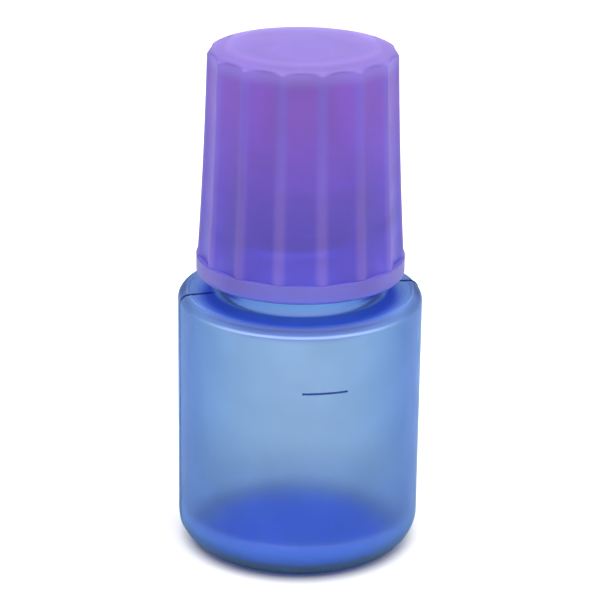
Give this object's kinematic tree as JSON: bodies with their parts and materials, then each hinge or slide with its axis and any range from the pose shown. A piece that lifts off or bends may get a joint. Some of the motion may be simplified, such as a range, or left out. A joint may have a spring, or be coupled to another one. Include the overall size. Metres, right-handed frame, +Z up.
{
  "type": "glue applicator bottle",
  "caption": "Small round squeeze bottle for glue, with a level mark, a snap-in drip nozzle and a tall fluted screw cap with a soft seal inside.",
  "frame": {"origin": "centre of the bottle's base, on the surface it stands on", "axes": "+Z up along the bottle's axis, the mould's parting plane in XZ, the level mark facing -Y"},
  "size_m": [0.0252, 0.0251, 0.0535],
  "materials": {
    "bottle_blue": "translucent, smooth as moulded",
    "nozzle_natural": "milky translucent",
    "seal_white": "soft, matt",
    "cap_purple": "translucent, satin"
  },
  "bodies": {
    "bottle": {"bottle_body": "bottle_blue", "drip_nozzle": "nozzle_natural"},
    "seal": {"tip_seal": "seal_white"},
    "cap": {"screw_cap": "cap_purple"}
  },
  "joints": [
    {"name": "cap_lift", "type": "slide", "parent": "bottle", "child": "seal", "axis": [0, 0, 1], "range_m": [0, 0.0239]},
    {"name": "cap_turn", "type": "hinge", "parent": "seal", "child": "cap", "pos_m": [0, 0, 0.0294], "axis": [0, 0, 1], "range_deg": [0, 2700]}
  ],
  "couplings": [
    {"joint": "cap_lift", "follows": "cap_turn", "m_per_rad": 0.00050532}
  ]
}
